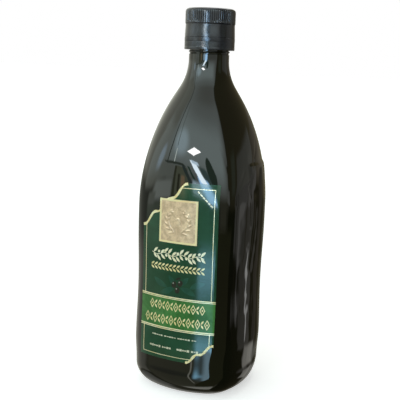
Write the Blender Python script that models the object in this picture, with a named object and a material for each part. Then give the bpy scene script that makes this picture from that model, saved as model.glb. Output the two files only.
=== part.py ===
"""Olive oil bottle: a square shouldered bottle with its screw cap, tamper band, label and foil seal.

Metres, +Z up. The origin is at the middle of the base, on the surface that the bottle stands on.
The label faces -Y. The bottle is shut, so it is one solid with its contents.
"""

import math

import bmesh
import bpy

# Body section: a square with bowed sides and round corners
HALF_FLATS = 0.0408
BOW_RADIUS = 0.0857
CORNER_RADIUS = 0.0173
BODY_RADIUS = 0.0441
BODY_SEGMENTS = 60

# Heights at which the section is square or round
FOOT_SQUARENESS = 0.68
FOOT_TOP = 0.0200
SQUARE_TOP = 0.1215
ROUND_FROM = 0.2080

# Base and heel
PUSH_UP_RADIUS = 0.0225
PUSH_UP_HEIGHT = 0.0030
PUSH_UP_MIDDLE = 0.6
HEEL_RADIUS = 0.0163
HEEL_STEPS = 6
HEEL_TUCK = 0.0009
HEEL_TUCK_TOP = 0.0360

# Shallow grip waist
WAIST_DEPTH = 0.0008
WAIST_Z = 0.0745
WAIST_HALF_LENGTH = 0.0420
WALL_STEPS = 9

# Shoulder, cone and neck
SHOULDER_Z = 0.1295
SHOULDER_RADIUS = 0.1360
SHOULDER_ANGLE = math.radians(32)
SHOULDER_STEPS = 9
NECK_ARC_RADIUS = 0.0360
NECK_ARC_STEPS = 5
NECK_RADIUS = 0.01365

# Bead under the cap, with a groove below it
GROOVE_RADIUS = 0.01325
GROOVE_Z = 0.2308
GROOVE_HEIGHT = 0.0006
BEAD_RADIUS = 0.0139
BEAD_Z = 0.2317
BEAD_HEIGHT = 0.0012
FINISH_RADIUS = 0.0134
MOUTH_Z = 0.2575

# Chamfer of small edges, and the clearance that keeps touching pieces apart
EDGE = 0.0003
GAP = 0.0003

# Tamper band
BAND_Z = 0.2335
BAND_TOP = 0.2414
BAND_RADIUS = 0.0170
BAND_WALL = 0.0014
BAND_SEGMENTS = 72

# Screw cap with a knurled grip
CAP_Z = BAND_TOP + GAP
CAP_TOP = 0.2612
CAP_SKIRT_RADIUS = 0.0169
CAP_WAIST_RADIUS = 0.0166
CAP_GRIP_RADIUS = 0.0169
CAP_INNER_RADIUS = 0.0140
CAP_ROOF = 0.0022
CAP_EDGE_RADIUS = 0.0024
CAP_EDGE_STEPS = 3
CAP_CROWN = 0.0005
GRIP_Z = 0.2509
GRIP_TOP = 0.2600
GRIP_RIBS = 72
GRIP_DEPTH = 0.0005
GRIP_LEAD = 0.0006

# Label, a rectangle with two torn corners
LABEL_HALF_WIDTH = 0.0272
LABEL_Z = 0.0257
LABEL_TOP = 0.1478
LABEL_THICKNESS = 0.0003
LABEL_COLUMNS = 34
LABEL_ROWS = 10
UPPER_TEAR_START = (-0.0272, 0.1170)
UPPER_TEAR_END = (0.0064, 0.1478)
UPPER_TEAR_WAVES = 3
UPPER_TEAR_DEPTH = 0.0014
LOWER_TEAR_START = (0.0087, 0.0257)
LOWER_TEAR_END = (0.0272, 0.0392)
LOWER_TEAR_WAVES = 2
LOWER_TEAR_DEPTH = 0.0010

# Foil seal on the label
SEAL_X = 0.0003
SEAL_Z = 0.1217
SEAL_WIDTH = 0.0274
SEAL_HEIGHT = 0.0294
SEAL_THICKNESS = 0.0003
SEAL_COLUMNS = 8
SEAL_ROWS = 6

# Modelling limits
MERGE_DISTANCE = 1e-7
WRAP_STEPS = 12
SHARP_ANGLE = math.radians(35)


def smooth_step(t):
    """Ease from 0 to 1 as t goes from 0 to 1, and stay there on either side."""
    t = min(max(t, 0.0), 1.0)
    return t * t * (3.0 - 2.0 * t)


def square_radius(angle):
    """Distance from the axis to the square section, angle being measured from the X axis."""
    quarter = math.pi / 2
    from_face = abs((angle + quarter / 2) % quarter - quarter / 2)
    corner_gap = BOW_RADIUS - CORNER_RADIUS
    tangent = math.acos((BOW_RADIUS - HALF_FLATS) / (corner_gap * math.sqrt(2))) - quarter / 2
    bow_centre = HALF_FLATS - BOW_RADIUS
    corner_starts = math.atan2(
        BOW_RADIUS * math.sin(tangent), bow_centre + BOW_RADIUS * math.cos(tangent)
    )
    if from_face <= corner_starts:
        centre_distance, radius, turn = bow_centre, BOW_RADIUS, from_face
    else:
        centre_distance = corner_gap * math.sin(tangent) * math.sqrt(2)
        radius, turn = CORNER_RADIUS, quarter / 2 - from_face
    across = centre_distance * math.sin(turn)
    return centre_distance * math.cos(turn) + math.sqrt(radius**2 - across**2)


def squareness(z):
    """How square the section is at this height: 1 on the body, 0 on the neck."""
    foot = FOOT_SQUARENESS + (1.0 - FOOT_SQUARENESS) * smooth_step(z / FOOT_TOP)
    return foot * (1.0 - smooth_step((z - SQUARE_TOP) / (ROUND_FROM - SQUARE_TOP)))


def section_scale(angle, z):
    """Factor that takes a point of the round profile out to the real section."""
    return 1.0 + squareness(z) * (square_radius(angle) / BODY_RADIUS - 1.0)


def arc(centre_radius, centre_z, radius, start, end, steps):
    """Points (radius, z) on an arc from one angle to the other, both ends included."""
    turns = [start + (end - start) * i / steps for i in range(steps + 1)]
    return [
        (centre_radius + radius * math.cos(turn), centre_z + radius * math.sin(turn))
        for turn in turns
    ]


def wall_radius(z):
    """Radius of the profile between the heel and the shoulder."""
    tuck = HEEL_TUCK * (1.0 - smooth_step((z - HEEL_RADIUS) / (HEEL_TUCK_TOP - HEEL_RADIUS)))
    reach = min(abs(z - WAIST_Z) / WAIST_HALF_LENGTH, 1.0)
    return BODY_RADIUS - tuck - WAIST_DEPTH * math.cos(reach * math.pi / 2) ** 2


def shoulder_end():
    """Point (radius, z) where the round shoulder runs out into the straight cone."""
    return (
        BODY_RADIUS - SHOULDER_RADIUS * (1.0 - math.cos(SHOULDER_ANGLE)),
        SHOULDER_Z + SHOULDER_RADIUS * math.sin(SHOULDER_ANGLE),
    )


def neck_arc_start():
    """Point (radius, z) where the cone meets the hollow curve under the neck."""
    radius = NECK_RADIUS + NECK_ARC_RADIUS * (1.0 - math.cos(SHOULDER_ANGLE))
    cone_radius, cone_z = shoulder_end()
    return radius, cone_z + (cone_radius - radius) / math.tan(SHOULDER_ANGLE)


def body_radius(z):
    """Radius of the round profile at any height from the heel to the cone."""
    if z <= SHOULDER_Z:
        return wall_radius(z)
    return BODY_RADIUS - SHOULDER_RADIUS + math.sqrt(SHOULDER_RADIUS**2 - (z - SHOULDER_Z) ** 2)


def bottle_profile():
    """Points (radius, z) from the middle of the base up the outside to the mouth."""
    heel_centre = wall_radius(HEEL_RADIUS) - HEEL_RADIUS
    points = [(0.0, PUSH_UP_HEIGHT)]
    points.append((PUSH_UP_RADIUS * PUSH_UP_MIDDLE, PUSH_UP_HEIGHT * PUSH_UP_MIDDLE))
    points.append((PUSH_UP_RADIUS, 0.0))
    points += arc(heel_centre, HEEL_RADIUS, HEEL_RADIUS, -math.pi / 2, 0.0, HEEL_STEPS)
    wall_step = (SHOULDER_Z - HEEL_RADIUS) / WALL_STEPS
    for i in range(1, WALL_STEPS):
        z = HEEL_RADIUS + wall_step * i
        points.append((wall_radius(z), z))
    centre_radius = BODY_RADIUS - SHOULDER_RADIUS
    points += arc(
        centre_radius, SHOULDER_Z, SHOULDER_RADIUS, 0.0, SHOULDER_ANGLE, SHOULDER_STEPS
    )
    neck_z = neck_arc_start()[1] + NECK_ARC_RADIUS * math.sin(SHOULDER_ANGLE)
    points += arc(
        NECK_RADIUS + NECK_ARC_RADIUS,
        neck_z,
        NECK_ARC_RADIUS,
        math.pi + SHOULDER_ANGLE,
        math.pi,
        NECK_ARC_STEPS,
    )
    points += bead_profile()
    points += [(FINISH_RADIUS, MOUTH_Z), (0.0, MOUTH_Z)]
    return points


def bead_profile():
    """Points (radius, z) of the groove and the bead under the cap."""
    return [
        (NECK_RADIUS, GROOVE_Z - EDGE),
        (GROOVE_RADIUS, GROOVE_Z),
        (GROOVE_RADIUS, GROOVE_Z + GROOVE_HEIGHT),
        (BEAD_RADIUS - EDGE, BEAD_Z),
        (BEAD_RADIUS, BEAD_Z + EDGE),
        (BEAD_RADIUS, BEAD_Z + BEAD_HEIGHT - EDGE),
        (BEAD_RADIUS - EDGE, BEAD_Z + BEAD_HEIGHT),
        (FINISH_RADIUS, BEAD_Z + BEAD_HEIGHT + EDGE),
    ]


def turned(profile, segments):
    """A bmesh of the profile spun once round the Z axis, closed and facing out."""
    mesh = bmesh.new()
    verts = [mesh.verts.new((radius, 0.0, z)) for radius, z in profile]
    edges = [mesh.edges.new(pair) for pair in zip(verts, verts[1:])]
    bmesh.ops.spin(
        mesh,
        geom=verts + edges,
        cent=(0.0, 0.0, 0.0),
        axis=(0.0, 0.0, 1.0),
        angle=2 * math.pi,
        steps=segments,
        use_merge=True,
    )
    bmesh.ops.remove_doubles(mesh, verts=mesh.verts, dist=MERGE_DISTANCE)
    bmesh.ops.recalc_face_normals(mesh, faces=mesh.faces)
    return mesh


def add_object(name, mesh, material):
    """Turn a bmesh into an object of the scene, smooth but for its sharp edges."""
    data = bpy.data.meshes.new(name)
    mesh.to_mesh(data)
    mesh.free()
    data.shade_smooth()
    data.set_sharp_from_angle(angle=SHARP_ANGLE)
    data.materials.append(material)
    piece = bpy.data.objects.new(name, data)
    bpy.context.scene.collection.objects.link(piece)
    return piece


def make_material(name, colour, roughness, metallic=0.0):
    """A plain material with one colour, one roughness and one metallic value."""
    material = bpy.data.materials.new(name)
    material.use_nodes = True
    surface = material.node_tree.nodes["Principled BSDF"]
    surface.inputs["Base Color"].default_value = (*colour, 1.0)
    surface.inputs["Roughness"].default_value = roughness
    surface.inputs["Metallic"].default_value = metallic
    return material


def make_bottle():
    """The body with its neck, one solid, from the standing ring to the mouth."""
    mesh = turned(bottle_profile(), BODY_SEGMENTS)
    for vert in mesh.verts:
        scale = section_scale(math.atan2(vert.co.y, vert.co.x), vert.co.z)
        vert.co.x *= scale
        vert.co.y *= scale
    return add_object("bottle", mesh, make_material("dark_green_gloss", (0.012, 0.017, 0.011), 0.08))


def make_tamper_band():
    """The ring that stays on the neck when the cap is first turned."""
    inner = BAND_RADIUS - BAND_WALL
    profile = [
        (inner, BAND_Z),
        (BAND_RADIUS - EDGE, BAND_Z),
        (BAND_RADIUS, BAND_Z + EDGE),
        (BAND_RADIUS, BAND_TOP),
        (inner, BAND_TOP),
        (inner, BAND_Z),
    ]
    mesh = turned(profile, BAND_SEGMENTS)
    return add_object("tamper_band", mesh, make_material("band_black", (0.030, 0.032, 0.037), 0.32))


def cap_profile():
    """Points (radius, z) of the cap from its roof inside, round the skirt, to its crown."""
    edge_z = CAP_TOP - CAP_CROWN - CAP_EDGE_RADIUS
    points = [
        (0.0, CAP_TOP - CAP_ROOF),
        (CAP_INNER_RADIUS, CAP_TOP - CAP_ROOF),
        (CAP_INNER_RADIUS, CAP_Z),
        (CAP_SKIRT_RADIUS, CAP_Z),
        (CAP_WAIST_RADIUS, GRIP_Z - GRIP_LEAD),
        (CAP_GRIP_RADIUS, GRIP_Z),
    ]
    points += arc(
        CAP_GRIP_RADIUS - CAP_EDGE_RADIUS, edge_z, CAP_EDGE_RADIUS, 0.0, math.pi / 2, CAP_EDGE_STEPS
    )
    points.append((0.0, CAP_TOP))
    return points


def make_cap():
    """The screw cap, hollow over the mouth, with ribs round its grip."""
    mesh = turned(cap_profile(), 2 * GRIP_RIBS)
    step = math.pi / GRIP_RIBS
    for vert in mesh.verts:
        radius = math.hypot(vert.co.x, vert.co.y)
        on_grip = GRIP_Z - MERGE_DISTANCE < vert.co.z < GRIP_TOP and radius > CAP_INNER_RADIUS + EDGE
        if on_grip and round(math.atan2(vert.co.y, vert.co.x) / step) % 2:
            vert.co.x *= 1.0 - GRIP_DEPTH / radius
            vert.co.y *= 1.0 - GRIP_DEPTH / radius
    return add_object("cap", mesh, make_material("cap_black", (0.030, 0.032, 0.037), 0.32))


def front_depth(x, z):
    """How far in front of the axis the wall lies, at this place on the side that faces -Y."""
    angle = 0.0
    for _ in range(WRAP_STEPS):
        radius = body_radius(z) * section_scale(angle - math.pi / 2, z)
        angle = math.asin(x / radius)
    return radius * math.cos(angle)


def torn_edge(x, start, end, waves, depth):
    """Height of a torn corner's wavy edge at x, between its two ends (x, z)."""
    t = (x - start[0]) / (end[0] - start[0])
    wave = -depth * math.sin(2 * math.pi * waves * t)
    return start[1] + (end[1] - start[1]) * t + wave


def label_top(x):
    """Height of the label's upper edge at x."""
    if x >= UPPER_TEAR_END[0]:
        return LABEL_TOP
    return torn_edge(x, UPPER_TEAR_START, UPPER_TEAR_END, UPPER_TEAR_WAVES, UPPER_TEAR_DEPTH)


def label_bottom(x):
    """Height of the label's lower edge at x."""
    if x <= LOWER_TEAR_START[0]:
        return LABEL_Z
    return torn_edge(x, LOWER_TEAR_START, LOWER_TEAR_END, LOWER_TEAR_WAVES, LOWER_TEAR_DEPTH)


def skin(columns, rows, place, thickness):
    """A thin closed sheet; place turns (u, v), each from 0 to 1, into (x, z, depth)."""
    mesh = bmesh.new()
    bmesh.ops.create_grid(mesh, x_segments=columns, y_segments=rows, size=0.5)
    for vert in mesh.verts:
        x, z, depth = place(vert.co.x + 0.5, vert.co.y + 0.5)
        vert.co = (x, -depth, z)
    front = bmesh.ops.extrude_face_region(mesh, geom=mesh.faces[:], use_keep_orig=True)
    moved = [item for item in front["geom"] if isinstance(item, bmesh.types.BMVert)]
    bmesh.ops.translate(mesh, verts=moved, vec=(0.0, -thickness, 0.0))
    bmesh.ops.recalc_face_normals(mesh, faces=mesh.faces)
    return mesh


def label_place(u, v):
    """Where the point (u, v) of the label's inner face lies."""
    x = LABEL_HALF_WIDTH * (2.0 * u - 1.0)
    low, high = label_bottom(x), label_top(x)
    z = low + (high - low) * v
    return x, z, front_depth(x, z) + GAP


def make_label():
    """The paper label, wrapped on the front of the body."""
    mesh = skin(LABEL_COLUMNS, LABEL_ROWS, label_place, LABEL_THICKNESS)
    return add_object("label", mesh, make_material("label_green", (0.006, 0.045, 0.027), 0.38))


def seal_place(u, v):
    """Where the point (u, v) of the seal's inner face lies."""
    x = SEAL_X + SEAL_WIDTH * (u - 0.5)
    z = SEAL_Z + SEAL_HEIGHT * (v - 0.5)
    return x, z, front_depth(x, z) + LABEL_THICKNESS + 2 * GAP


def make_seal():
    """The square foil seal, which covers the label and the bare wall past its torn corner."""
    mesh = skin(SEAL_COLUMNS, SEAL_ROWS, seal_place, SEAL_THICKNESS)
    return add_object("foil_seal", mesh, make_material("foil_gold", (0.50, 0.40, 0.22), 0.42, 0.7))


def clear_scene():
    """Remove every object of the scene."""
    for thing in list(bpy.data.objects):
        bpy.data.objects.remove(thing, do_unlink=True)


def main():
    """Build the bottle and what is on it."""
    clear_scene()
    make_bottle()
    make_tamper_band()
    make_cap()
    make_label()
    make_seal()


main()
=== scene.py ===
"""Looks of a shut olive oil bottle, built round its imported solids.

Metres, +Z up. The bottle stands on z = 0 at the origin and its label faces -Y. Every piece rides on the one
body of the part, and each one keeps the form of the solid that it stands for.
"""

import logging
import math
from dataclasses import dataclass, field, replace
from enum import Enum
from itertools import count
from typing import Callable, Sequence

import bmesh
import bpy
from mathutils import Euler, Matrix, Vector, noise


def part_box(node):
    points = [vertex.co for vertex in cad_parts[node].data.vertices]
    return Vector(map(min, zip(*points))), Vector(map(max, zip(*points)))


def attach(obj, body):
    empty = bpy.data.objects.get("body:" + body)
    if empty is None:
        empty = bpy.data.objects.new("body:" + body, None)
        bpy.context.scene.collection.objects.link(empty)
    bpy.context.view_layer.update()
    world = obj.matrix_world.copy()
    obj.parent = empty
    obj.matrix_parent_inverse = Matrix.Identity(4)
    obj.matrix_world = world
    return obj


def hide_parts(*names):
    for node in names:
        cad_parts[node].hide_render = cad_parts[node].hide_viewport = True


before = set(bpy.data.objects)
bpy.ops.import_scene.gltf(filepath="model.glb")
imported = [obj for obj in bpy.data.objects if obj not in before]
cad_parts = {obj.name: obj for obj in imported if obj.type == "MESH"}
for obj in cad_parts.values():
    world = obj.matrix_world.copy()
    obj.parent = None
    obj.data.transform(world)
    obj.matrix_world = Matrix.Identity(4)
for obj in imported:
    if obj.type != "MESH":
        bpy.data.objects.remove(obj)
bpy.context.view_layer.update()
BOXES = {name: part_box(name) for name in ("bottle", "cap", "tamper_band", "label", "foil_seal")}

BODY = "root"
MERGE = 1e-7
QUARTER = math.pi / 2

Colour = tuple[float, float, float]
Place = tuple[float, float]

log = logging.getLogger("bottle")


# Small sums

def smooth_step(t: float) -> float:
    """Ease from 0 to 1, where t below 0 and above 1 is taken as 0 and 1."""
    t = min(max(t, 0.0), 1.0)
    return t * t * (3.0 - 2.0 * t)


def between(start: float, end: float, steps: int) -> list[float]:
    """Evenly spaced values with this many gaps between them, both ends included."""
    return [start + (end - start) * i / steps for i in range(steps + 1)]


def arc(centre: Place, radius: float, start: float, end: float, steps: int) -> list[Place]:
    """Points on an arc.

    Args:
        centre: Centre of the arc, as (radius, z).
        radius: Radius of the arc.
        start: First angle, in radians.
        end: Last angle, in radians.
        steps: Number of straight pieces.

    Returns:
        Points (radius, z), both ends included.
    """
    return [
        (centre[0] + radius * math.cos(turn), centre[1] + radius * math.sin(turn))
        for turn in between(start, end, steps)
    ]


# Shape of the wall

@dataclass(frozen=True)
class Wall:
    """Outer surface of the bottle: a bowed square section that turns round towards the neck."""

    half_flats: float = 0.0408
    bow_radius: float = 0.0857
    corner_radius: float = 0.0173
    body_radius: float = 0.0441
    foot_squareness: float = 0.68
    foot_top: float = 0.0200
    square_top: float = 0.1215
    round_from: float = 0.2080
    heel_radius: float = 0.0163
    heel_tuck: float = 0.0009
    heel_tuck_top: float = 0.0360
    waist_depth: float = 0.0008
    waist_z: float = 0.0745
    waist_half_length: float = 0.0420
    shoulder_z: float = 0.1295
    shoulder_radius: float = 0.1360
    shoulder_angle: float = math.radians(32)
    neck_arc_radius: float = 0.0360
    neck_radius: float = 0.01365
    front_rounds: int = 8

    def square_radius(self, angle: float) -> float:
        """Distance from the axis to the square section.

        Args:
            angle: Polar angle from the X axis.

        Returns:
            The distance in metres.
        """
        from_face = abs((angle + QUARTER / 2) % QUARTER - QUARTER / 2)
        corner_gap = self.bow_radius - self.corner_radius
        bow_centre = self.half_flats - self.bow_radius
        tangent = math.acos(-bow_centre / (corner_gap * math.sqrt(2))) - QUARTER / 2
        corner_starts = math.atan2(
            self.bow_radius * math.sin(tangent),
            bow_centre + self.bow_radius * math.cos(tangent),
        )
        if from_face <= corner_starts:
            centre, radius, turn = bow_centre, self.bow_radius, from_face
        else:
            centre = corner_gap * math.sin(tangent) * math.sqrt(2)
            radius, turn = self.corner_radius, QUARTER / 2 - from_face
        return centre * math.cos(turn) + math.sqrt(radius**2 - (centre * math.sin(turn)) ** 2)

    def section_scale(self, angle: float, z: float) -> float:
        """Factor from the round profile out to the real section.

        Args:
            angle: Polar angle from the X axis.
            z: Height.

        Returns:
            The factor.
        """
        foot = self.foot_squareness + (1.0 - self.foot_squareness) * smooth_step(z / self.foot_top)
        fade = smooth_step((z - self.square_top) / (self.round_from - self.square_top))
        return 1.0 + foot * (1.0 - fade) * (self.square_radius(angle) / self.body_radius - 1.0)

    def side_radius(self, z: float) -> float:
        """Radius of the round profile between the heel and the end of the shoulder's arc.

        Args:
            z: Height.

        Returns:
            The radius.
        """
        if z > self.shoulder_z:
            rise = z - self.shoulder_z
            return self.body_radius - self.shoulder_radius + math.sqrt(
                self.shoulder_radius**2 - rise**2
            )
        heel_part = (z - self.heel_radius) / (self.heel_tuck_top - self.heel_radius)
        reach = min(abs(z - self.waist_z) / self.waist_half_length, 1.0)
        waist = self.waist_depth * math.cos(reach * QUARTER) ** 2
        return self.body_radius - self.heel_tuck * (1.0 - smooth_step(heel_part)) - waist

    def shoulder_end(self) -> Place:
        """Point (radius, z) where the shoulder's arc runs out into the straight cone."""
        return (
            self.body_radius - self.shoulder_radius * (1.0 - math.cos(self.shoulder_angle)),
            self.shoulder_z + self.shoulder_radius * math.sin(self.shoulder_angle),
        )

    def neck_start(self) -> Place:
        """Point (radius, z) where the cone meets the hollow curve under the neck."""
        radius = self.neck_radius + self.neck_arc_radius * (1.0 - math.cos(self.shoulder_angle))
        cone_radius, cone_z = self.shoulder_end()
        return radius, cone_z + (cone_radius - radius) / math.tan(self.shoulder_angle)

    def front(self, x: float, z: float, lift: float) -> Vector:
        """Point of the front, or a little in front of it.

        Args:
            x: Place across the front.
            z: Height.
            lift: Distance in front of the wall.

        Returns:
            The point, in metres.
        """
        angle = 0.0
        for _ in range(self.front_rounds):
            radius = self.side_radius(z) * self.section_scale(angle - QUARTER, z)
            angle = math.asin(x / radius)
        return Vector((x, -radius * math.cos(angle) - lift, z))


WALL = Wall()


# Node trees

class Nodes:
    """A shader node tree with short ways to add and join nodes."""

    def __init__(self, tree: bpy.types.NodeTree) -> None:
        """Keep the tree to work on."""
        self.tree = tree

    def add(self, kind: str, **settings: object) -> bpy.types.Node:
        """Add a node.

        Args:
            kind: Blender's name of the node type, without the word ShaderNode.
            settings: Properties of the node to set.

        Returns:
            The node.
        """
        node = self.tree.nodes.new("ShaderNode" + kind)
        for name, value in settings.items():
            setattr(node, name, value)
        return node

    def put(self, socket: bpy.types.NodeSocket, value: object) -> None:
        """Join an output to an input, or set the input's own value.

        Args:
            socket: The input.
            value: An output socket, a number, a vector or a colour.
        """
        if isinstance(value, bpy.types.NodeSocket):
            self.tree.links.new(value, socket)
        elif isinstance(value, tuple) and len(value) == 3 and socket.type == "RGBA":
            socket.default_value = (*value, 1.0)
        else:
            socket.default_value = value

    def sum(self, operation: str, *values: object) -> bpy.types.NodeSocket:
        """Add a Math node.

        Args:
            operation: Name of the sum, such as ADD.
            values: Its inputs, in order.

        Returns:
            Its output.
        """
        node = self.add("Math", operation=operation)
        for socket, value in zip(node.inputs, values):
            self.put(socket, value)
        return node.outputs[0]

    def ease(self, value: object, low: float, high: float) -> bpy.types.NodeSocket:
        """Add a smooth step from 0 at low to 1 at high.

        Args:
            value: The input to ease.
            low: Where the step starts.
            high: Where it ends.

        Returns:
            The eased output.
        """
        node = self.add("MapRange", interpolation_type="SMOOTHSTEP")
        for name, item in (("Value", value), ("From Min", low), ("From Max", high)):
            self.put(node.inputs[name], item)
        return node.outputs["Result"]

    def mix(self, factor: object, first: object, second: object) -> bpy.types.NodeSocket:
        """Add a colour mix.

        Args:
            factor: Share of the second colour.
            first: First colour.
            second: Second colour.

        Returns:
            The mixed colour.
        """
        node = self.add("Mix", data_type="RGBA", clamp_factor=True)
        for index, value in ((0, factor), (6, first), (7, second)):
            self.put(node.inputs[index], value)
        return node.outputs[2]

    def noise(self, where: object, scale: object, detail: float) -> bpy.types.NodeSocket:
        """Add a noise texture.

        Args:
            where: Coordinates.
            scale: Scale of the noise.
            detail: Number of finer layers.

        Returns:
            Its value output.
        """
        node = self.add("TexNoise")
        self.put(node.inputs["Vector"], where)
        self.put(node.inputs["Scale"], scale)
        self.put(node.inputs["Detail"], detail)
        return node.outputs["Fac"]

    def group(self, tree: bpy.types.NodeTree, **values: object) -> bpy.types.Node:
        """Add a node group.

        Args:
            tree: The group.
            values: Its inputs by name, with _ for a space.

        Returns:
            The group node.
        """
        node = self.add("Group", node_tree=tree)
        for name, value in values.items():
            self.put(node.inputs[name.replace("_", " ")], value)
        return node


def new_group(
    name: str, inputs: Sequence[tuple[str, str]], outputs: Sequence[tuple[str, str]]
) -> tuple[Nodes, bpy.types.Node, bpy.types.Node]:
    """Start a shader node group.

    Args:
        name: Name of the group.
        inputs: Names and kinds of its inputs.
        outputs: Names and kinds of its outputs.

    Returns:
        The tree, its input node and its output node.
    """
    tree = bpy.data.node_groups.new(name, "ShaderNodeTree")
    for way, rows in (("INPUT", inputs), ("OUTPUT", outputs)):
        for label, kind in rows:
            tree.interface.new_socket(label, in_out=way, socket_type="NodeSocket" + kind)
    nodes = Nodes(tree)
    start = tree.nodes.new("NodeGroupInput")
    end = tree.nodes.new("NodeGroupOutput")
    return nodes, start, end


def tone_group() -> bpy.types.NodeTree:
    """Group that lets a colour drift between two tones, in large soft patches and fine ones."""
    nodes, start, end = new_group(
        "uneven_tone",
        [("Place", "Vector"), ("Scale", "Float"), ("Tone", "Color"), ("Other Tone", "Color")],
        [("Colour", "Color")],
    )
    fine_scale, soft_weight, fine_weight, low, high = 6.0, 0.75, 0.25, 0.36, 0.64
    given = start.outputs
    soft = nodes.noise(given["Place"], given["Scale"], 3.0)
    fine = nodes.noise(given["Place"], nodes.sum("MULTIPLY", given["Scale"], fine_scale), 2.0)
    weighted = [nodes.sum("MULTIPLY", *pair) for pair in ((soft, soft_weight), (fine, fine_weight))]
    share = nodes.ease(nodes.sum("ADD", *weighted), low, high)
    nodes.put(end.inputs["Colour"], nodes.mix(share, given["Tone"], given["Other Tone"]))
    return nodes.tree


def ripple_group() -> bpy.types.NodeTree:
    """Group that gives the height of long soft ripples with a fine grain on them."""
    nodes, start, end = new_group(
        "moulded_ripple",
        [("Place", "Vector"), ("Scale", "Float"), ("Stretch", "Float"), ("Grain", "Float")],
        [("Height", "Float")],
    )
    grain_scale = 14.0
    given = start.outputs
    spread = nodes.add("CombineXYZ")
    for axis, value in (("X", 1.0), ("Y", 1.0), ("Z", given["Stretch"])):
        nodes.put(spread.inputs[axis], value)
    shaped = nodes.add("VectorMath", operation="MULTIPLY")
    nodes.put(shaped.inputs[0], given["Place"])
    nodes.put(shaped.inputs[1], spread.outputs[0])
    long = nodes.noise(shaped.outputs[0], given["Scale"], 2.0)
    grain = nodes.noise(given["Place"], nodes.sum("MULTIPLY", given["Scale"], grain_scale), 1.0)
    height = nodes.sum("ADD", long, nodes.sum("MULTIPLY", grain, given["Grain"]))
    nodes.put(end.inputs["Height"], height)
    return nodes.tree


def dust_group() -> bpy.types.NodeTree:
    """Group that gives a mask of sparse dull specks and faint rubbed patches."""
    nodes, start, end = new_group(
        "dust_and_rub",
        [("Place", "Vector"), ("Scale", "Float"), ("Amount", "Float")],
        [("Mask", "Float")],
    )
    speck_edge, speck_core, rub_scale, rub_low, rub_high, rub_share = 0.12, 0.05, 0.08, 0.50, 0.72, 0.6
    given = start.outputs
    cells = nodes.add("TexVoronoi")
    nodes.put(cells.inputs["Vector"], given["Place"])
    nodes.put(cells.inputs["Scale"], given["Scale"])
    specks = nodes.ease(cells.outputs["Distance"], speck_edge, speck_core)
    rub = nodes.noise(given["Place"], nodes.sum("MULTIPLY", given["Scale"], rub_scale), 4.0)
    patches = nodes.ease(rub, rub_low, rub_high)
    total = nodes.sum("MAXIMUM", specks, nodes.sum("MULTIPLY", patches, rub_share))
    nodes.put(end.inputs["Mask"], nodes.sum("MULTIPLY", total, given["Amount"]))
    return nodes.tree


@dataclass(frozen=True)
class Effects:
    """The node groups that several finishes share."""

    tone: bpy.types.NodeTree = field(default_factory=tone_group)
    ripple: bpy.types.NodeTree = field(default_factory=ripple_group)
    dust: bpy.types.NodeTree = field(default_factory=dust_group)


EFFECTS = Effects()


# Finishes

@dataclass(frozen=True)
class Finish:
    """One finish: two tones, gloss, coat and the small relief of its surface."""

    name: str
    slot: str
    tone: Colour
    other_tone: Colour
    tone_scale: float = 60.0
    roughness: float = 0.3
    metallic: float = 0.0
    ior: float = 1.5
    specular: float = 0.5
    coat: float = 0.0
    coat_roughness: float = 0.1
    ripple_scale: float = 60.0
    ripple_stretch: float = 1.0
    ripple_grain: float = 0.1
    ripple_depth: float = 0.0
    dust_scale: float = 900.0
    dust_amount: float = 0.1

    def material(self) -> bpy.types.Material:
        """Make the material, or find it if it is there already.

        Returns:
            The material.
        """
        found = bpy.data.materials.get(self.name)
        if found:
            return found
        material = bpy.data.materials.new(self.name)
        material.use_nodes = True
        nodes = Nodes(material.node_tree)
        surface = material.node_tree.nodes["Principled BSDF"]
        place = nodes.add("TexCoord").outputs["Object"]
        tone = nodes.group(
            EFFECTS.tone, Place=place, Scale=self.tone_scale, Tone=self.tone, Other_Tone=self.other_tone
        )
        dust = nodes.group(EFFECTS.dust, Place=place, Scale=self.dust_scale, Amount=self.dust_amount)
        nodes.put(surface.inputs["Base Color"], tone.outputs["Colour"])
        rough = nodes.sum("ADD", self.roughness, dust.outputs["Mask"])
        nodes.put(surface.inputs["Roughness"], rough)
        surface.inputs["Metallic"].default_value = self.metallic
        surface.inputs["IOR"].default_value = self.ior
        surface.inputs["Specular IOR Level"].default_value = self.specular
        surface.inputs["Coat Weight"].default_value = self.coat
        surface.inputs["Coat Roughness"].default_value = self.coat_roughness
        if self.ripple_depth:
            ripple = nodes.group(
                EFFECTS.ripple,
                Place=place,
                Scale=self.ripple_scale,
                Stretch=self.ripple_stretch,
                Grain=self.ripple_grain,
            )
            bump = nodes.add("Bump")
            nodes.put(bump.inputs["Distance"], self.ripple_depth)
            nodes.put(bump.inputs["Height"], ripple.outputs["Height"])
            nodes.put(surface.inputs["Normal"], bump.outputs["Normal"])
            if self.coat:
                nodes.put(surface.inputs["Coat Normal"], bump.outputs["Normal"])
        return material


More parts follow.
